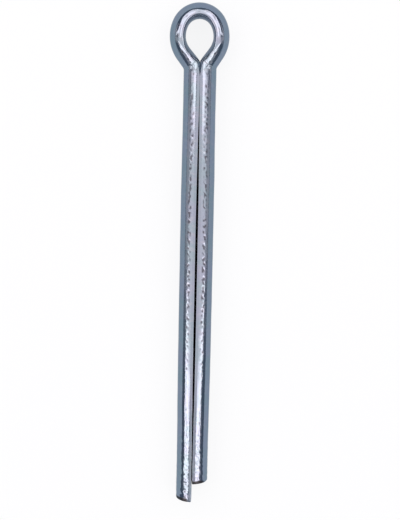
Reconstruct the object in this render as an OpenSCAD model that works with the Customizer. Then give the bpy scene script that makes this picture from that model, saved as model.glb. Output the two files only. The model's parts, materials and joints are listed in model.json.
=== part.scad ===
// Cotter pin: one length of half-round wire bent double with its flat face
// inward, so that two prongs close into a round shank below an open eye.
// The pin lies on its side, in millimetres, with its axis along Y and its eye
// towards +Y. The origin is on that axis, where the neck ends and the straight
// shank begins.

/* [Wire] */
// Diameter of the round shank that the two prongs make together
shank_d = 4.5; // [4:0.05:5]
// Width of the slit between the flat faces of the prongs
slit_w = 0.1; // [0.02:0.02:0.4]
// Radius along both edges of the wire's flat face
edge_r = 0.2; // [0.1:0.05:0.8]

/* [Prongs] */
// Length of the short prong, from the neck to its cut end
short_len = 58.7; // [20:0.1:100]
// How far the long prong reaches past the short one
extra_len = 2.7; // [0.5:0.1:6]
// Width of the bevel round each cut end
end_bevel = 0.25; // [0.05:0.05:0.6]

/* [Eye] */
// Radius of the flat face over the crown of the eye
crown_r = 1.75; // [1.4:0.05:2.4]
// Angle that the crown turns through on each side of its top
crown_turn = 64; // [30:1:80]
// Radius of the flat face down each side of the eye
side_r = 3.1; // [2.4:0.05:4]
// Slope of the straight flanks above the neck, from the pin's axis
flank_slope = 35; // [25:1:45]
// Radius in the hollow of the neck, on the round side of the wire
neck_r = 0.8; // [0.3:0.05:1.5]
// Sideways lean of the eye on the neck
eye_lean = 1.9; // [-4:0.1:4]

/* [Hidden] */
$fn = 96;

// How far each stretch of wire starts inside the one above it, so that no seam is left
lap = 0.0005;
// Scale at which shapes are joined, so small that a lap leaves no step
join_scale = 1 / 5000;

shank_r = shank_d / 2;
slit_half = slit_w / 2;
// Thickness of the wire, from its flat face to the top of its round
wire_t = shank_r - slit_half;
// Half the width of the flat face between its rounded edges
flat_half = sqrt(pow(shank_r - edge_r, 2) - pow(slit_half + edge_r, 2));
// Where the round of the wire meets the radius of its edge
edge_angle = atan2(flat_half, slit_half + edge_r);
edge_x = shank_r * cos(edge_angle) - slit_half;
edge_y = shank_r * sin(edge_angle);

// Radius of the flat face round the neck
neck_flat_r = neck_r + wire_t;
// Centre and foot of the bend down a side, from the centre of the crown
side_centre = (crown_r - side_r) * [sin(crown_turn), cos(crown_turn)];
side_foot = side_centre + side_r * [cos(flank_slope), -sin(flank_slope)];
// Height of the crown's centre over the end of the neck, for an upright eye
crown_y = neck_top(side_foot.x, flank_slope) - side_foot.y;

// Length of a flank whose top is x off the axis, and how high that top is over the end of the neck
function flank_len(x, slope) = (x - slit_half - neck_flat_r * (1 - cos(slope))) / sin(slope);
function neck_top(x, slope) = flank_len(x, slope) * cos(slope) + neck_flat_r * sin(slope);
function lap_angle(r) = lap / r * 180 / PI;
function turned(p, angle) = [p.x * cos(angle) - p.y * sin(angle), p.x * sin(angle) + p.y * cos(angle)];

// Shapes that meet edge to edge or end to end, joined into one at the joining scale
module joined() {
    scale(1 / join_scale)
        for (i = [0 : $children - 1])
            scale(join_scale)
                children(i);
}

// Section of the wire, with its flat face on the Y axis and its round towards +X
module wire_section() {
    joined() {
        intersection() {
            translate([-slit_half, 0])
                circle(r = shank_r);
            translate([edge_x, -shank_r])
                square(shank_d);
        }
        polygon([[0, -flat_half], [edge_x, -edge_y], [edge_x, edge_y], [0, flat_half]]);
        for (side = [-1, 1])
            translate([edge_r, side * flat_half])
                circle(r = edge_r);
    }
}

// Straight wire from the origin towards -Y, lapped at the origin, with its flat face on the YZ plane
module straight(len) {
    translate([0, lap, 0])
        rotate([90, 0, 0])
            linear_extrude(len + lap)
                wire_section();
}

// Bend round the Z axis from one angle to another, lapped at the second, with the flat face inside at radius r
module bend(r, from, to) {
    rotate_extrude(start = from, angle = to - from + lap_angle(r))
        translate([r, 0])
            wire_section();
}

// The same bend, lapped at the first angle, with the flat face outside at radius r
module back_bend(r, from, to) {
    rotate_extrude(start = from - lap_angle(r), angle = to - from + lap_angle(r))
        translate([r, 0])
            mirror([1, 0])
                wire_section();
}

// What the bevel takes off the shank's end on the XZ plane, with the shank towards +Y
module bevel_ring() {
    rotate([-90, 0, 0])
        rotate_extrude()
            translate([shank_r - end_bevel, 0])
                polygon(end_bevel * [[-1, -1], [2, -1], [2, 2]]);
}

// Prong from the neck at y = top down to its bevelled end at y = -len
module prong(top, len) {
    difference() {
        translate([slit_half, top, 0])
            straight(top + len);
        translate([0, -len, 0])
            bevel_ring();
    }
}

// Half of the pin on the +X side: the side of the eye, the flank, the neck and the prong
module half_pin(len, lean) {
    slope = flank_slope - lean;
    foot = turned([0, crown_y] + side_foot, lean);
    neck_y = foot.y - neck_top(foot.x, slope);
    joined() {
        translate(turned([0, crown_y] + side_centre, lean))
            bend(side_r, -slope, 90 - crown_turn + lean);
        translate(foot)
            rotate(-slope)
                straight(flank_len(foot.x, slope));
        translate([slit_half + neck_flat_r, neck_y])
            back_bend(neck_flat_r, 180 - slope, 180);
        prong(neck_y, len);
    }
}

// The whole wire: the crown, the short half on +X and the long half on -X
module cotter_pin() {
    color([0.62, 0.66, 0.71])
        joined() {
            translate(turned([0, crown_y], eye_lean))
                bend(crown_r, 90 - crown_turn + eye_lean, 90 + crown_turn + eye_lean);
            half_pin(short_len, eye_lean);
            mirror([1, 0, 0])
                half_pin(short_len + extra_len, -eye_lean);
        }
}

cotter_pin();
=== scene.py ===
"""A bright-plated cotter pin, lying on its side on a pale floor."""
import json
import math

import bpy
import numpy as np
from mathutils import Matrix, Vector


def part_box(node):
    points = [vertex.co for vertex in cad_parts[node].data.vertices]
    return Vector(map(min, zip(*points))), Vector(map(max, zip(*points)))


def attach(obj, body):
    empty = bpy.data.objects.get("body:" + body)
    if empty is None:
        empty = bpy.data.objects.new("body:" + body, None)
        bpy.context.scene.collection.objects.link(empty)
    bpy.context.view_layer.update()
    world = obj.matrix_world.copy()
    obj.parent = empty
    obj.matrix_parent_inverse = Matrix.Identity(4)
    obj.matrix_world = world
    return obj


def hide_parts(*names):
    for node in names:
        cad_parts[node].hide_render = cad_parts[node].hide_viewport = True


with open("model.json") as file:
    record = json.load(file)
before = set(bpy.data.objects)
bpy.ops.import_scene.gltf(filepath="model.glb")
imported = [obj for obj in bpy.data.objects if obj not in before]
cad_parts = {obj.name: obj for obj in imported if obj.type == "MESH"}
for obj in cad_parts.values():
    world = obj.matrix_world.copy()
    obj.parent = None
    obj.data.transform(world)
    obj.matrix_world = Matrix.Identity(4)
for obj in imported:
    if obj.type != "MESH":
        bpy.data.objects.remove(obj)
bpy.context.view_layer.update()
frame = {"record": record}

MM = 0.001
NODE = "cotter_pin"
low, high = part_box(NODE)
shank = next(m for m in frame["record"]["mounts"] if m["name"] == "shank")

# The wire, in millimetres, as the solid has it
SHANK_R = shank["dims"]["r_mm"]
LONG_LEN = -low.y / MM
EXTRA_LEN = 2.7
SHORT_LEN = LONG_LEN - EXTRA_LEN
SLIT_HALF = 0.05
CROWN_R = 1.75
CROWN_TURN = math.radians(64)
SIDE_R = 3.1
FLANK_SLOPE = math.radians(35)
NECK_R = 0.8
EYE_LEAN = math.radians(1.9)

# Thickness of the wire, and radius of its flat face round the neck, worked out from those sizes
WIRE_T = SHANK_R - SLIT_HALF
NECK_FLAT_R = NECK_R + WIRE_T

# Mesh steps, in millimetres along the wire and in faces round its section
PRONG_STEP = 0.13
EYE_STEP = 0.065
ROUND_FACES = 52
EDGE_FACES = 9
FLAT_FACES = 12
# Rings that round off a cut end, and rings that close its face
END_RINGS = 5
CAP_RINGS = 6

# How forming changes the wire along its length, in millimetres, by the distance above the end of the neck
# Radius along the edges of the flat face
EDGE_RADII = {-20: 0.1, -10: 0.06, -4: 0.03, 0: 0.04, 0.6: 0.12, 1.8: 0.3, 8: 0.45}
# How far each prong is bowed away from the axis
PRONG_BOW = {-53: 0, -46: 0.06, -40: 0.08, -20: 0.08, -15: 0.065, -10.5: 0.03, -6: 0}
# How far the flat face is pressed out, where the axis leaves room, which thickens the neck
NECK_FILL = {-8: 0, -4: 0.03, -2.5: 0.05, 0: 0.1, 0.6: 0.19, 1.1: 0.26, 1.8: 0.2, 3.3: 0.1, 4.6: 0}
# How far the edges of the flat face fall back where the wire is bent, which leaves that face crowned
FLAT_CROWN = {1.2: 0, 2.4: 0.45, 3.2: 0.5, 4.6: 0.2, 6.5: 0.2, 8.3: 0.42}
# How late they fall back: 1 is an even slope
CROWN_POWER = {2.4: 1.6, 4.6: 2, 8.3: 4}
# How wide a chamfer those edges have below the opening, and how much wider it is than deep
EDGE_CHAMFER = {-0.8: 0, 0.2: 0.16, 1.1: 0.34, 1.8: 0.3, 2.6: 0}
CHAMFER_SLOPE = 1.55
# How fast the crown and the chamfer fade from the flat face towards the round
EDGE_FADE = 3
# How deep the outer shoulder is pinched above the neck
SHOULDER_PINCH = {1.9: 0, 2.8: 0.045, 3.5: 0.04, 4.6: 0}
# Where the pinch starts, is deepest and ends, out from the flat face
SHOULDER = (0.7, 1.5, 2.2)
# How far the neck is flattened from above and below
NECK_DIP = {0: 0, 0.25: 0.005, 0.5: 0.02, 0.75: 0.044, 1: 0.08, 1.25: 0.115, 1.6: 0.125, 2.2: 0.13, 5: 0}
# How far below the end of the neck the flat faces bulge in full, so that they all but meet
BULGE_REACH = 1.0
# What is left between the prongs along the middle of their flat faces
CONTACT_GAP = 0.0006
# How far above the end of the neck the two sides of the wire are well apart
APART = 2.0
# The least share of a direction that is divided by
LEAST_SHARE = 1e-6

# Relief that forming left in the surface: how deep it is, and how long its waves are, in millimetres
SEED = 7
MARK_DEPTH = 0.01
MARK_WAVE = 0.62
RIPPLE_DEPTH = 0.008
RIPPLE_WAVE = 0.65
SWELL_DEPTH = 0.005
SWELL_WAVE = 5.0
# The marks count only this share of a distance along the wire, and the ripples this share round it,
# which makes both longer that way
MARK_ALONG = 0.8
RIPPLE_AROUND = 0.4
# The fine marks are in a band on either side of the top, where the surface leans out this far
MARK_LEAN = 0.43
MARK_SPREAD = 0.085
# How deep a fine mark is where its painted shade starts, and where that painted shade is darkest, as shares
# of MARK_DEPTH
PIT_SHADE_DEPTHS = (0.1, 0.5)
# How much of the fine marks and of the ripples across the wire there is along its length
MARK_SHARE = {-62: 1.3, -59.5: 0.35, -57: 0.15, -44: 0.15, -38: 0.6, -28: 1, -8: 1, -1: 0.35, 9: 0.35}
RIPPLE_SHARE = {-62: 1.5, -59: 1, -54: 0.7, -48: 0}

# Where the flat face turns into the round, by how far the surface has turned away from the other prong
FLAT_TURN = (0.2, 0.6)
# How dull the flat face is along the wire; where it is fully dull, along the prongs, it is also painted
# near-black as shade in the slit between them
SLIT_SHADE_AND_DULL_SHARE = {-59.2: 0.2, -58.4: 1, -2: 1, 0: 0.2}

# How far each cut end is rounded, and how far from it the steel is torn, in millimetres
END_ROUND = 0.17
CUT_REACH = 0.6
# How much of the tear's darkness fades towards +X, as painted light from that side, and where it does so
# from the middle of its prong
TORN_LIT_SIDE_FADE = 0.8
TORN_LIT_SIDE_ACROSS = (0.1, 0.9)


def turned(point, angle):
    """A point in the plane of the eye, turned about the origin."""
    c, s = math.cos(angle), math.sin(angle)
    return np.array([c * point[0] - s * point[1], s * point[0] + c * point[1]])


def arc(centre, radius, start, end, step, out):
    """Places along an arc of the flat face and the directions out of it, without the last place.

    Those directions point away from the centre where out is 1, and to it where out is -1.
    """
    count = max(2, round(abs(end - start) * radius / step))
    angles = np.linspace(start, end, count, endpoint=False)
    rays = np.stack([np.cos(angles), np.sin(angles)], 1)
    return centre + radius * rays, out * rays


def line(start, end, out, step):
    """Places along a straight of the flat face and the direction out of it, without the last place."""
    count = max(2, round(np.linalg.norm(end - start) / step))
    shares = np.linspace(0, 1, count, endpoint=False)[:, None]
    return start + shares * (end - start), np.tile(out, (count, 1))


def flank_len(x, slope):
    """Length of a flank whose top is x off the axis."""
    return (x - SLIT_HALF - NECK_FLAT_R * (1 - math.cos(slope))) / math.sin(slope)


def neck_top(x, slope):
    """Height of that top over the end of the neck."""
    return flank_len(x, slope) * math.cos(slope) + NECK_FLAT_R * math.sin(slope)


# Centre and foot of a side of the eye, from the crown's centre, and that centre from the origin
SIDE_CENTRE = (CROWN_R - SIDE_R) * np.array([math.sin(CROWN_TURN), math.cos(CROWN_TURN)])
SIDE_FOOT = SIDE_CENTRE + SIDE_R * np.array([math.cos(FLANK_SLOPE), -math.sin(FLANK_SLOPE)])
CROWN_CENTRE = np.array([0, neck_top(SIDE_FOOT[0], FLANK_SLOPE) - SIDE_FOOT[1]])


def half_path(length, lean):
    """The flat face on the +X side, from the start of the prong's rounded end up to the crown."""
    slope = FLANK_SLOPE - lean
    foot = turned(CROWN_CENTRE + SIDE_FOOT, lean)
    neck_y = foot[1] - neck_top(foot[0], slope)
    neck_centre = np.array([SLIT_HALF + NECK_FLAT_R, neck_y])
    flank_out = np.array([math.cos(slope), -math.sin(slope)])
    stretches = [
        line(
            np.array([SLIT_HALF, END_ROUND - length]),
            np.array([SLIT_HALF, neck_y]),
            np.array([1.0, 0.0]),
            PRONG_STEP,
        ),
        arc(neck_centre, NECK_FLAT_R, math.pi, math.pi - slope, PRONG_STEP, -1),
        line(neck_centre - NECK_FLAT_R * flank_out, foot, flank_out, PRONG_STEP),
        arc(
            turned(CROWN_CENTRE + SIDE_CENTRE, lean),
            SIDE_R,
            -slope,
            math.pi / 2 - CROWN_TURN + lean,
            EYE_STEP,
            1,
        ),
    ]
    return [np.concatenate(parts) for parts in zip(*stretches)]


def wire_path():
    """The whole flat face, from the short prong's end round the eye to the long prong's end."""
    mirror = np.array([-1, 1])
    right_places, right_outs = half_path(SHORT_LEN, EYE_LEAN)
    left_places, left_outs = half_path(LONG_LEN, -EYE_LEAN)
    crown_places, crown_outs = arc(
        turned(CROWN_CENTRE, EYE_LEAN),
        CROWN_R,
        math.pi / 2 - CROWN_TURN + EYE_LEAN,
        math.pi / 2 + CROWN_TURN + EYE_LEAN,
        EYE_STEP,
        1,
    )
    places = np.concatenate([right_places, crown_places, left_places[::-1] * mirror])
    outs = np.concatenate([right_outs, crown_outs, left_outs[::-1] * mirror])
    return places, outs


def wire_section(edge_r):
    """Places round the section, out of the flat face and up, and the normals there, for each edge radius."""
    flat_half = np.sqrt((SHANK_R - edge_r) ** 2 - (SLIT_HALF + edge_r) ** 2)
    edge_angle = np.arctan2(flat_half, SLIT_HALF + edge_r)
    edge_shares = np.linspace(0, 1, EDGE_FACES, endpoint=False)
    round_shares = np.linspace(-1, 1, ROUND_FACES, endpoint=False)
    flat_shares = np.cos(np.linspace(0, math.pi, FLAT_FACES, endpoint=False))
    lower_angles = -math.pi + edge_shares * (math.pi - edge_angle)
    upper_angles = edge_angle + edge_shares * (math.pi - edge_angle)

    def bow(x, z, radius, angles):
        """Places on an arc about a centre, and the directions out of it."""
        rays = np.stack([np.cos(angles), np.sin(angles)], 2)
        return np.stack([x + radius * rays[..., 0], z + radius * rays[..., 1]], 2), rays

    flat_heights = flat_half * flat_shares
    flat = np.stack([np.zeros_like(flat_heights), flat_heights], 2)
    stretches = [
        bow(edge_r, -flat_half, edge_r, lower_angles),
        bow(-SLIT_HALF, 0, SHANK_R, edge_angle * round_shares),
        bow(edge_r, flat_half, edge_r, upper_angles),
        (flat, np.tile([-1.0, 0.0], (*flat.shape[:2], 1))),
    ]
    return [np.concatenate(parts, 1) for parts in zip(*stretches)]


def smooth_step(start, end, values):
    """0 before start, 1 after end, and a smooth rise between."""
    t = np.clip((values - start) / (end - start), 0, 1)
    return t * t * (3 - 2 * t)


def roundness(normals):
    """0 on the flat face, 1 on the round, and a smooth rise over the edges."""
    return smooth_step(*FLAT_TURN, normals[..., 0] + 1)


def travelled(points):
    """The distance along a row of points to each of them."""
    return np.concatenate([[0], np.cumsum(np.linalg.norm(np.diff(points, axis=0), axis=1))])


def along_wire(profile, rise):
    """A profile's value at each distance above the end of the neck."""
    return np.interp(rise, list(profile), list(profile.values()))


def waves(rng, wavelength, around, along, count=36, spread=0.35):
    """Random smooth relief of unit strength, as a sum of waves in all directions over the wire's surface."""
    total = np.zeros(np.broadcast(around, along).shape)
    for _ in range(count):
        heading = rng.uniform(0, 2 * math.pi)
        pitch = 2 * math.pi / (wavelength * rng.uniform(1 - spread, 1 + spread))
        phase = rng.uniform(0, 2 * math.pi)
        total += np.cos(pitch * (math.cos(heading) * around + math.sin(heading) * along) + phase)
    return total * math.sqrt(2 / count)


def marks(around, along, rise, lean):
    """The fine marks that forming left: hollows are above 0."""
    rng = np.random.default_rng(SEED)
    band = np.exp(-(((lean - MARK_LEAN) / MARK_SPREAD) ** 2))
    return band * along_wire(MARK_SHARE, rise) * waves(rng, MARK_WAVE, around, MARK_ALONG * along)


def relief(around, along, rise):
    """How deep the ripples across the wire and its slow swells are, in millimetres."""
    rng = np.random.default_rng(SEED + 1)
    ripple = RIPPLE_DEPTH * along_wire(RIPPLE_SHARE, rise)
    ripple = ripple * waves(rng, RIPPLE_WAVE, RIPPLE_AROUND * around, along)
    return ripple + SWELL_DEPTH * waves(rng, SWELL_WAVE, around, along)


def formed(section, rounded, rise, to_axis):
    """The section as forming leaves it: how far out of the flat face, and how high.

    The flat face is to_axis short of the axis.
    """
    off_flat, heights = section[..., 0], section[..., 1]
    flat_top = heights[:, -FLAT_FACES:].max(1, keepdims=True)
    up_flat = np.clip(np.abs(heights) / flat_top, 0, 1)
    near_flat = 1 - np.clip(off_flat / WIRE_T, 0, 1)

    fill = np.minimum(along_wire(NECK_FILL, rise), to_axis)
    bulge = (to_axis - fill) * smooth_step(0, BULGE_REACH, -rise)
    moved = off_flat - fill * near_flat - (1 - rounded) * bulge * (1 - up_flat**2)

    edges = near_flat**EDGE_FADE
    below_edge = np.clip(flat_top - np.abs(heights), 0, None)
    chamfer = np.clip(along_wire(EDGE_CHAMFER, rise) - CHAMFER_SLOPE * below_edge, 0, None)
    moved = moved + along_wire(FLAT_CROWN, rise) * edges * up_flat ** along_wire(CROWN_POWER, rise)
    moved = moved + edges * chamfer

    shoulder = smooth_step(*SHOULDER[:2], off_flat) * (1 - smooth_step(*SHOULDER[1:], off_flat))
    lowered = heights * (1 - along_wire(NECK_DIP, rise) / SHANK_R)
    return moved, lowered - np.sign(heights) * along_wire(SHOULDER_PINCH, rise) * shoulder


def keep_apart(flat_rings, outs, rise):
    """Keeps each prong on its own side of the axis, up to where the two sides of the wire are well apart."""
    side = np.sign(outs[:, :1])
    own_side = side * np.maximum(side * flat_rings[..., 0], CONTACT_GAP / 2)
    flat_rings[..., 0] = np.where(rise < APART, own_side, flat_rings[..., 0])


def wire_rings():
    """Rings of vertices in millimetres, and the section's normals, surface places and marks at each."""
    places, outs = wire_path()
    along = travelled(places)[:, None]
    rise = np.minimum(along - SHORT_LEN, along[-1] - along - LONG_LEN) + END_ROUND
    section, normals = wire_section(along_wire(EDGE_RADII, rise))
    # The section of a prong stands for all of them in the distance round the wire
    around = travelled(section[len(section) // 4])[None, :]

    rounded = roundness(normals)
    hollows = marks(around, along, rise, normals[..., 0])
    depth = MARK_DEPTH * hollows + relief(around, along, rise)
    section = section - (depth * rounded)[..., None] * normals
    flat_places = places + outs * along_wire(PRONG_BOW, rise)
    to_axis = (np.abs(flat_places[:, 0]) - CONTACT_GAP / 2) / np.maximum(np.abs(outs[:, 0]), LEAST_SHARE)
    off_flat, heights = formed(section, rounded, rise, np.maximum(to_axis, 0)[:, None])

    flat_rings = flat_places[:, None, :] + off_flat[..., None] * outs[:, None, :]
    keep_apart(flat_rings, outs, rise)
    rings = np.concatenate([flat_rings, heights[..., None]], 2)
    rings = np.clip(rings, np.array(low) / MM, np.array(high) / MM)
    wire = np.stack(np.broadcast_arrays(around, along, rise), 2)
    return rings, normals, wire, hollows


def end_rings(ring, normals, side):
    """Rings that round off a cut end below its last full ring, and close its face towards the middle.

    The prong's side is 1 at +X and -1 at -X.
    """
    made = []
    for k in range(1, END_RINGS + 1):
        turn = math.pi / 2 * k / END_RINGS
        inset = END_ROUND * (1 - math.cos(turn))
        moved = ring.copy()
        moved[:, 0] -= side * inset * normals[:, 0]
        moved[:, 1] -= END_ROUND * math.sin(turn)
        moved[:, 2] -= inset * normals[:, 1]
        made.append(moved)
    rim = made[-1]
    middle = rim.mean(0)
    for k in range(1, CAP_RINGS):
        made.append(middle + (rim - middle) * (1 - k / CAP_RINGS))
    return made


def ring_faces(ring_count, around_count):
    """Quads between each ring and the next."""
    rows = np.arange(ring_count - 1)[:, None] * around_count
    here = np.arange(around_count)[None, :]
    beside = (here + 1) % around_count
    corners = [rows + here, rows + around_count + here, rows + around_count + beside, rows + beside]
    return np.stack([c.ravel() for c in corners], 1)


def closed_faces(ring_count, around_count):
    """Quads along the wire, and a fan at each end round a middle that is listed after the rings."""
    middle = ring_count * around_count
    last_ring = middle - around_count
    faces = ring_faces(ring_count, around_count).tolist()
    for here in range(around_count):
        beside = (here + 1) % around_count
        faces.append((middle, here, beside))
        faces.append((middle + 1, last_ring + beside, last_ring + here))
    return faces


def with_middles(values):
    """What the rings' vertices have, as one list, and then the mean of the first ring and of the last."""
    middles = [values[end].mean(0).reshape(1, -1) for end in (0, -1)]
    return np.concatenate([values.reshape(values.shape[0] * values.shape[1], -1), *middles])


def with_ends(values, first_count, last_count):
    """What the full rings have, repeated from the outermost ones over the rings of the two ends."""
    first = np.repeat(values[:1], first_count, 0)
    last = np.repeat(values[-1:], last_count, 0)
    return np.concatenate([first, values, last])


def surface_shares(rings, normals, wire, hollows):
    """How much painted shade the pits have, how torn the ends are, with painted light towards +X, and how
    dull the flat face is, with painted shade in the slit, from 0 to 1.
    """
    from_end = np.minimum(wire[..., 1], wire[..., 1].max() - wire[..., 1])
    across = rings[..., 0] - np.sign(rings[..., 0]) * (SLIT_HALF + WIRE_T / 2)
    by_end = 1 - smooth_step(0, CUT_REACH, from_end)
    return {
        # Painted shade in the hollows of the fine marks
        "pit_shade": smooth_step(*PIT_SHADE_DEPTHS, hollows),
        # Torn steel at the cut ends, painted lighter towards +X as if lit from that side
        "torn_and_lit_side": by_end * (1 - TORN_LIT_SIDE_FADE * smooth_step(*TORN_LIT_SIDE_ACROSS, across)),
        # Dull on the flat face, with painted near-black shade where it is more than a little dull, along the
        # prongs
        "dull_and_slit_shade": (1 - roundness(normals)) * along_wire(SLIT_SHADE_AND_DULL_SHARE, wire[..., 2]),
    }


def make_wire():
    """The bent wire as one closed mesh, which carries what its material needs to know of the surface."""
    rings, normals, wire, hollows = wire_rings()
    first = end_rings(rings[0], normals[0], 1)[::-1]
    last = end_rings(rings[-1], normals[-1], -1)
    rings = np.concatenate([first, rings, last])
    normals, wire, hollows = (with_ends(v, len(first), len(last)) for v in (normals, wire, hollows))

    mesh = bpy.data.meshes.new("wire")
    mesh.from_pydata((with_middles(rings) * MM).tolist(), [], closed_faces(*rings.shape[:2]))
    mesh.shade_smooth()
    surface = mesh.attributes.new("wire", "FLOAT_VECTOR", "POINT")
    surface.data.foreach_set("vector", with_middles(wire).ravel())
    for name, values in surface_shares(rings, normals, wire, hollows).items():
        share = mesh.attributes.new(name, "FLOAT", "POINT")
        share.data.foreach_set("value", with_middles(values).ravel())
    return bpy.data.objects.new("wire", mesh)


def add_node(tree, kind, inputs=(), **settings):
    """A shader node with its settings, and with values or links on its inputs by name or number."""
    node = tree.nodes.new(kind)
    for name, value in settings.items():
        setattr(node, name, value)
    for key, value in dict(inputs).items():
        if isinstance(value, bpy.types.NodeSocket):
            tree.links.new(value, node.inputs[key])
        else:
            node.inputs[key].default_value = value
    return node


def noise(tree, place, scale, detail=2.0, roughness=0.5):
    """A noise pattern's value, with its scale per millimetre."""
    inputs = {"Vector": place, "Scale": scale, "Detail": detail, "Roughness": roughness}
    return add_node(tree, "ShaderNodeTexNoise", inputs).outputs["Fac"]


def ramp(tree, value, start, end, low_value=0.0, high_value=1.0):
    """A value's smooth rise from one number to another between two places on its scale."""
    inputs = {"Value": value, "From Min": start, "From Max": end, "To Min": low_value, "To Max": high_value}
    return add_node(tree, "ShaderNodeMapRange", inputs, interpolation_type="SMOOTHSTEP").outputs["Result"]


def times(tree, a, b):
    """The product of two values."""
    return add_node(tree, "ShaderNodeMath", {0: a, 1: b}, operation="MULTIPLY").outputs["Value"]


def plus(tree, a, b):
    """The sum of two values."""
    return add_node(tree, "ShaderNodeMath", {0: a, 1: b}, operation="ADD").outputs["Value"]


def blend(tree, share, start, end):
    """A colour between two others."""
    inputs = {"Factor": share, "A": start, "B": end}
    return add_node(tree, "ShaderNodeMix", inputs, data_type="RGBA").outputs["Result"]


def attribute(tree, name):
    """What the mesh carries under a name."""
    return add_node(tree, "ShaderNodeAttribute", attribute_name=name)


def bumped(tree, height, distance, **normal):
    """The normal of a surface with fine relief, over another normal if one is given."""
    inputs = {"Height": height, "Distance": distance, **normal}
    return add_node(tree, "ShaderNodeBump", inputs).outputs["Normal"]


# Colours of the plate, of its glancing reflections, of the painted shade in the slit and in the pits, and of
# the steel
ZINC_COOL = (0.172, 0.243, 0.305, 1)
ZINC_WARM = (0.193, 0.238, 0.328, 1)
ZINC_PALE = (0.25, 0.28, 0.345, 1)
# Painted shade: near-black on the flat face inside the slit between the prongs
SLIT_PAINTED_SHADE = (0.02, 0.03, 0.05, 1)
GRAZING_TINT = (0.66, 0.7, 0.74, 1)
# Painted shade in the pits of the forming marks
PIT_PAINTED_SHADE = (0.045, 0.05, 0.07, 1)
TORN_STEEL = (0.035, 0.038, 0.045, 1)

# Patterns in the plate: their scale per millimetre, the part of their range that counts, and their strength
TINT_SCALE = 0.3
TINT_RANGE = (0.3, 0.7)
MOTTLE_SCALE = 1.8
MOTTLE_DETAIL = 3.0
MOTTLE_RANGE = (0.48, 0.68)
MOTTLE_SHARE = 0.35
# How far the pits are painted dark as shade
PIT_SHADE_SHARE = 0.88
TORN_SCALE = 1.5
TORN_RANGE = (0.7, 1.1)
# Part of the slit's dull share over which its painted shade comes in
SLIT_SHADE_RANGE = (0.2, 1.0)
GRAIN_SCALE = 7.0
GRAIN_RANGE = (0.3, 0.7)
# Scales of the fine lines round the wire and along it
LINE_SCALES = (5.0, 0.12, 0.0)
LINE_DETAIL = 3.0
LINE_ROUGHNESS = 0.6

# Roughness of the plate, what torn steel adds to it, and what a dull face adds once it is a little dull
PLATE_ROUGHNESS = (0.06, 0.12)
TORN_ROUGHNESS = 0.25
DULL_ROUGHNESS = 0.3
LITTLE_DULL = 0.2
# Heights of the fine lines and of the grain, in metres
LINE_HEIGHT = 0.0015 * MM
GRAIN_HEIGHT = 0.002 * MM


def plated_metal():
    """Bright zinc plate over drawn wire, with slow changes of tint, pale mottles and fine lines along it.

    It has painted shade in the pits of the forming marks, is dark where the ends are torn, painted lighter
    towards +X there as if lit from that side, and is dull on the flat face, with painted near-black shade in
    the slit between the prongs.
    """
    material = bpy.data.materials.new("plated_wire")
    material.use_nodes = True
    tree = material.node_tree
    shader = tree.nodes["Principled BSDF"]
    wire = attribute(tree, "wire").outputs["Vector"]
    lines_place = add_node(tree, "ShaderNodeVectorMath", {0: wire, 1: LINE_SCALES}, operation="MULTIPLY")

    tint = ramp(tree, noise(tree, wire, TINT_SCALE), *TINT_RANGE)
    mottle = ramp(tree, noise(tree, wire, MOTTLE_SCALE, MOTTLE_DETAIL), *MOTTLE_RANGE)
    lines = noise(tree, lines_place.outputs["Vector"], 1.0, LINE_DETAIL, LINE_ROUGHNESS)
    grain = noise(tree, wire, GRAIN_SCALE)
    torn_and_lit_side = plus(tree, attribute(tree, "torn_and_lit_side").outputs["Fac"], noise(tree, wire, TORN_SCALE))
    torn_and_lit_side = ramp(tree, torn_and_lit_side, *TORN_RANGE)
    pit_shade = attribute(tree, "pit_shade").outputs["Fac"]
    dull_and_slit_shade = attribute(tree, "dull_and_slit_shade").outputs["Fac"]

    colour = blend(tree, tint, ZINC_COOL, ZINC_WARM)
    colour = blend(tree, times(tree, mottle, MOTTLE_SHARE), colour, ZINC_PALE)
    # Painted shade in the pits of the forming marks
    colour = blend(tree, times(tree, pit_shade, PIT_SHADE_SHARE), colour, PIT_PAINTED_SHADE)
    # Painted shade in the slit between the prongs
    colour = blend(tree, ramp(tree, dull_and_slit_shade, *SLIT_SHADE_RANGE), colour, SLIT_PAINTED_SHADE)
    # Dark torn steel at the cut ends, with painted light towards +X
    colour = blend(tree, torn_and_lit_side, colour, TORN_STEEL)
    tree.links.new(colour, shader.inputs["Base Color"])

    shader.inputs["Metallic"].default_value = 1
    shader.inputs["Specular Tint"].default_value = GRAZING_TINT
    plate_rough = ramp(tree, grain, *GRAIN_RANGE, *PLATE_ROUGHNESS)
    rough = plus(tree, plate_rough, times(tree, torn_and_lit_side, TORN_ROUGHNESS))
    rough = plus(tree, rough, ramp(tree, dull_and_slit_shade, 0.0, LITTLE_DULL, 0.0, DULL_ROUGHNESS))
    tree.links.new(rough, shader.inputs["Roughness"])

    lined = bumped(tree, lines, LINE_HEIGHT)
    tree.links.new(bumped(tree, grain, GRAIN_HEIGHT, Normal=lined), shader.inputs["Normal"])
    return material


# Colour of the floor, the near-white that it is lifted to where it is seen, and how far it is lifted
FLOOR_COLOUR = (0.53, 0.63, 0.72, 1)
FLOOR_GLOW = (0.97, 0.97, 0.975, 1)
GLOW_SHARE = 0.9


def seen_directly(tree):
    """1 where camera, metal or glass looks at the surface, and 0 where it only lights others."""
    path = add_node(tree, "ShaderNodeLightPath").outputs
    seen = plus(tree, path["Is Camera Ray"], path["Is Glossy Ray"])
    return plus(tree, seen, path["Is Transmission Ray"])


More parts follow.
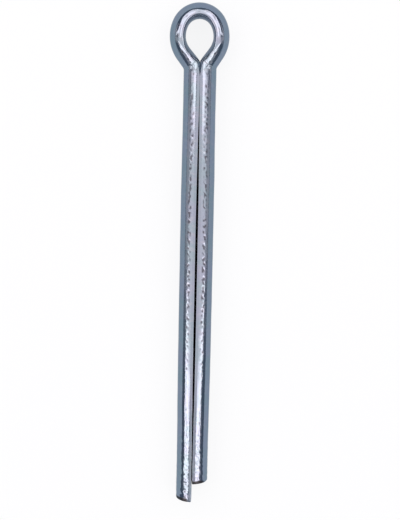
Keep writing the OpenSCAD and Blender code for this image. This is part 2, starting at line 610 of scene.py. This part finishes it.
def pale_floor():
    """A matt pale floor. Camera and metal see it lifted towards white, with part of the shadow kept."""
    material = bpy.data.materials.new("floor")
    material.use_nodes = True
    tree = material.node_tree
    tree.nodes.clear()
    share = times(tree, seen_directly(tree), GLOW_SHARE)
    matt = add_node(tree, "ShaderNodeBsdfDiffuse", {"Color": FLOOR_COLOUR})
    glow = add_node(tree, "ShaderNodeEmission", {"Color": FLOOR_GLOW, "Strength": 1.0})
    mix = add_node(tree, "ShaderNodeMixShader", {"Fac": share, 1: matt.outputs[0], 2: glow.outputs[0]})
    add_node(tree, "ShaderNodeOutputMaterial", {"Surface": mix.outputs[0]})
    return material


# The floor and its cove, in metres, and the faces of the cove from bottom to top and all round
FLOOR_R = 1.0
COVE_R = 0.07
COVE_STEPS = 9
COVE_SIDES = 96


def make_floor():
    """A round floor with a low cove at its edge."""
    turns = np.linspace(0, math.pi / 2, COVE_STEPS + 1)
    profile = [(FLOOR_R + COVE_R * math.sin(t), COVE_R * (1 - math.cos(t))) for t in turns]
    angles = np.linspace(0, 2 * math.pi, COVE_SIDES, endpoint=False)
    points = [(r * math.cos(a), r * math.sin(a), low.z + h) for r, h in profile for a in angles]
    faces = ring_faces(len(profile), COVE_SIDES).tolist()
    faces.append(tuple(range(COVE_SIDES)))
    mesh = bpy.data.meshes.new("floor")
    mesh.from_pydata(points, [], faces)
    mesh.materials.append(pale_floor())
    return bpy.data.objects.new("floor", mesh)


# Height of the ceiling in metres, and the colour of its light
CEILING = 0.6
WARM = (1.0, 0.79, 0.69)

# Edges that the ceiling's panels share, as shares of its height
# Across the pin, out from its axis
OFF_TOP = 0.4
OFF_RIGHT_FRONT = 0.44
OFF_LEFT_FRONT = 0.52
OFF_RIGHT_NECK = 0.75
OFF_LEFT_NECK = 0.9
OFF_INNER = 0.95
OFF_CORNER = 1.0
OFF_GAP = 1.25
OFF_SIDE = 1.4
OFF_RIGHT_NEAR = 1.65
OFF_OUTER = 1.85
OFF_RIGHT_EDGE = 3.2
OFF_LEFT_EDGE = 3.9
OFF_RIM = 10
# Along the pin, from far behind the eye to far in front of the tips
AT_FAR = 1.9
AT_BACK = 0.46
AT_NEAR = 0.17
AT_NECK_RIM = 0.07
AT_EYE = 0.03
AT_NECK = -0.06
AT_SIDE = -0.37
AT_SIDE_FRONT = -0.43
AT_FRONT = -0.55
AT_GAP = -0.62
AT_FOOT = -0.65
AT_CORNER = -0.88
AT_FAR_CORNER = -1.6
AT_FAR_FRONT = -2.0

# Panels on both sides of the pin: where they are along it, how bright they are, and where they are across it
# on the left and on the right
SIDE_PANELS = (
    ("back corner", (AT_BACK, AT_FAR), 4.0, (OFF_TOP, OFF_OUTER), (OFF_TOP, OFF_OUTER)),
    ("near inner", (AT_EYE, AT_BACK), 4.3, (OFF_TOP, OFF_INNER), (OFF_TOP, OFF_INNER)),
    ("near gap", (AT_EYE, AT_BACK), 2.2, (OFF_INNER, OFF_GAP), (OFF_INNER, OFF_GAP)),
    ("near outer", (AT_NEAR, AT_BACK), 4.4, (OFF_GAP, OFF_OUTER), (OFF_GAP, OFF_RIGHT_NEAR)),
    ("near outer foot", (AT_EYE, AT_NEAR), 1.5, (OFF_GAP, OFF_OUTER), (OFF_GAP, OFF_OUTER)),
    ("near edge", (AT_NEAR, AT_BACK), 3.0, (OFF_OUTER, OFF_LEFT_EDGE), (OFF_RIGHT_NEAR, OFF_RIGHT_EDGE)),
    ("neck", (AT_NECK, AT_EYE), 4.2, (0.5, OFF_LEFT_NECK), (OFF_TOP, OFF_RIGHT_NECK)),
    ("neck outer", (AT_NECK, AT_EYE), 2.5, (OFF_LEFT_NECK, OFF_OUTER), (OFF_RIGHT_NECK, 1.45)),
    ("side", (AT_SIDE, AT_NECK), 2.05, (OFF_TOP, OFF_SIDE), (OFF_TOP, OFF_SIDE)),
    ("side outer", (AT_SIDE, AT_NECK), 1.45, (OFF_SIDE, OFF_OUTER), (OFF_SIDE, OFF_OUTER)),
    ("side front", (AT_SIDE_FRONT, AT_SIDE), 3.8, (OFF_TOP, OFF_OUTER), (OFF_TOP, OFF_OUTER)),
    ("front", (AT_FRONT, AT_SIDE_FRONT), 5.0, (OFF_LEFT_FRONT, OFF_OUTER), (OFF_RIGHT_FRONT, OFF_OUTER)),
    ("front gap", (AT_GAP, AT_FRONT), 2.2, (OFF_LEFT_FRONT, OFF_OUTER), (OFF_RIGHT_FRONT, 1.7)),
    ("front foot", (AT_CORNER, AT_GAP), 5.0, (OFF_LEFT_FRONT, OFF_OUTER), (OFF_RIGHT_FRONT, 1.45)),
    ("front corner", (AT_FAR_CORNER, AT_CORNER), 0.9, (OFF_CORNER, 2.3), (OFF_CORNER, 2.3)),
    ("far corner", (AT_FAR_FRONT, AT_FAR_CORNER), 0.9, (OFF_CORNER, 3.0), (OFF_CORNER, 3.0)),
    ("rim", (AT_FOOT, AT_NECK), 0.88, (OFF_OUTER, OFF_RIM), (OFF_OUTER, OFF_RIM)),
    ("neck rim", (AT_NECK, AT_NECK_RIM), 0.45, (OFF_OUTER, OFF_RIM), (OFF_OUTER, OFF_RIM)),
    ("back rim", (AT_NECK_RIM, AT_FAR), 0.88, (OFF_LEFT_EDGE, OFF_RIM), (OFF_RIGHT_EDGE, OFF_RIM)),
    ("front rim", (-1.3, AT_FOOT), 0.7, (4.5, OFF_RIM), (4.5, OFF_RIM)),
)
# Panels over the pin itself: where they are along it, how bright they are, and how far they reach each way
MIDDLE_PANELS = (
    ("back", (AT_BACK, AT_FAR), 2.9, OFF_TOP),
    ("back edge", (AT_FAR, 3.7), 3.0, OFF_OUTER),
    ("top", (AT_SIDE, AT_BACK), 1.8, OFF_TOP),
    ("top front", (AT_FOOT, AT_SIDE), 1.15, OFF_TOP),
    ("front middle", (AT_FAR_FRONT, AT_CORNER), 0.4, OFF_CORNER),
    ("far front", (-8.0, AT_FAR_FRONT), 0.8, 1.5),
)


def add_panel(name, across, along, radiance):
    """A soft panel overhead that faces down, with its sides given as shares of its height."""
    size = [CEILING * (end - start) for start, end in (across, along)]
    lamp = bpy.data.lights.new(name, "AREA")
    lamp.shape = "RECTANGLE"
    lamp.size, lamp.size_y = size
    lamp.energy = radiance * math.pi * size[0] * size[1]
    lamp.color = WARM
    panel = bpy.data.objects.new(name, lamp)
    panel.location = (CEILING * sum(across) / 2, CEILING * sum(along) / 2, CEILING)
    bpy.context.scene.collection.objects.link(panel)


def add_light():
    """A ceiling of soft panels: dim over the pin, brighter beside it and behind the eye."""
    for name, along, radiance, left, right in SIDE_PANELS:
        add_panel(name, (-left[1], -left[0]), along, radiance)
        add_panel(name, right, along, radiance)
    for name, along, radiance, reach in MIDDLE_PANELS:
        add_panel(name, (-reach, reach), along, radiance)


# Colour of the room as the pin and the floor are lit by it
ROOM_DIM = (0.21, 0.235, 0.28, 1)


def add_room():
    """A dim room, which the camera sees as white."""
    world = bpy.data.worlds.new("room")
    world.use_nodes = True
    tree = world.node_tree
    tree.nodes.clear()
    camera_ray = add_node(tree, "ShaderNodeLightPath").outputs["Is Camera Ray"]
    dim = add_node(tree, "ShaderNodeBackground", {"Color": ROOM_DIM})
    white = add_node(tree, "ShaderNodeBackground", {"Color": FLOOR_GLOW})
    mix = add_node(tree, "ShaderNodeMixShader", {"Fac": camera_ray, 1: dim.outputs[0], 2: white.outputs[0]})
    add_node(tree, "ShaderNodeOutputWorld", {"Surface": mix.outputs[0]})
    bpy.context.scene.world = world


# Camera, fitted to the pin's outline in the photograph
CAMERA_TILT = math.radians(9.339)
CAMERA_ROLL = math.radians(1.206)
CAMERA_AIM = Vector((0.535, -26.337, 0)) * MM
CAMERA_DISTANCE = 154.843 * MM
CAMERA_CLIP = 0.01
FOCAL_PIXELS = 1099
IMAGE_HEIGHT = 520
SENSOR = 36


def add_camera():
    """The photograph's view, from above with the eye at the top."""
    forward = Vector((0, -math.sin(CAMERA_TILT), -math.cos(CAMERA_TILT)))
    up = Vector((0, math.cos(CAMERA_TILT), -math.sin(CAMERA_TILT)))
    right = Vector((1, 0, 0))
    rolled_right = right * math.cos(CAMERA_ROLL) + up * math.sin(CAMERA_ROLL)
    rolled_up = up * math.cos(CAMERA_ROLL) - right * math.sin(CAMERA_ROLL)
    data = bpy.data.cameras.new("camera")
    data.lens = FOCAL_PIXELS / IMAGE_HEIGHT * SENSOR
    data.sensor_width = SENSOR
    data.clip_start = CAMERA_CLIP
    camera = bpy.data.objects.new("camera", data)
    turn = Matrix((rolled_right, rolled_up, -forward)).transposed().to_4x4()
    camera.matrix_world = Matrix.Translation(CAMERA_AIM - forward * CAMERA_DISTANCE) @ turn
    bpy.context.scene.collection.objects.link(camera)
    bpy.context.scene.camera = camera


wire = make_wire()
wire.data.materials.append(plated_metal())
bpy.context.scene.collection.objects.link(wire)
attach(wire, "root")
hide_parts(NODE)

floor = make_floor()
bpy.context.scene.collection.objects.link(floor)

add_light()
add_room()
add_camera()
bpy.context.scene.view_settings.view_transform = "Standard"
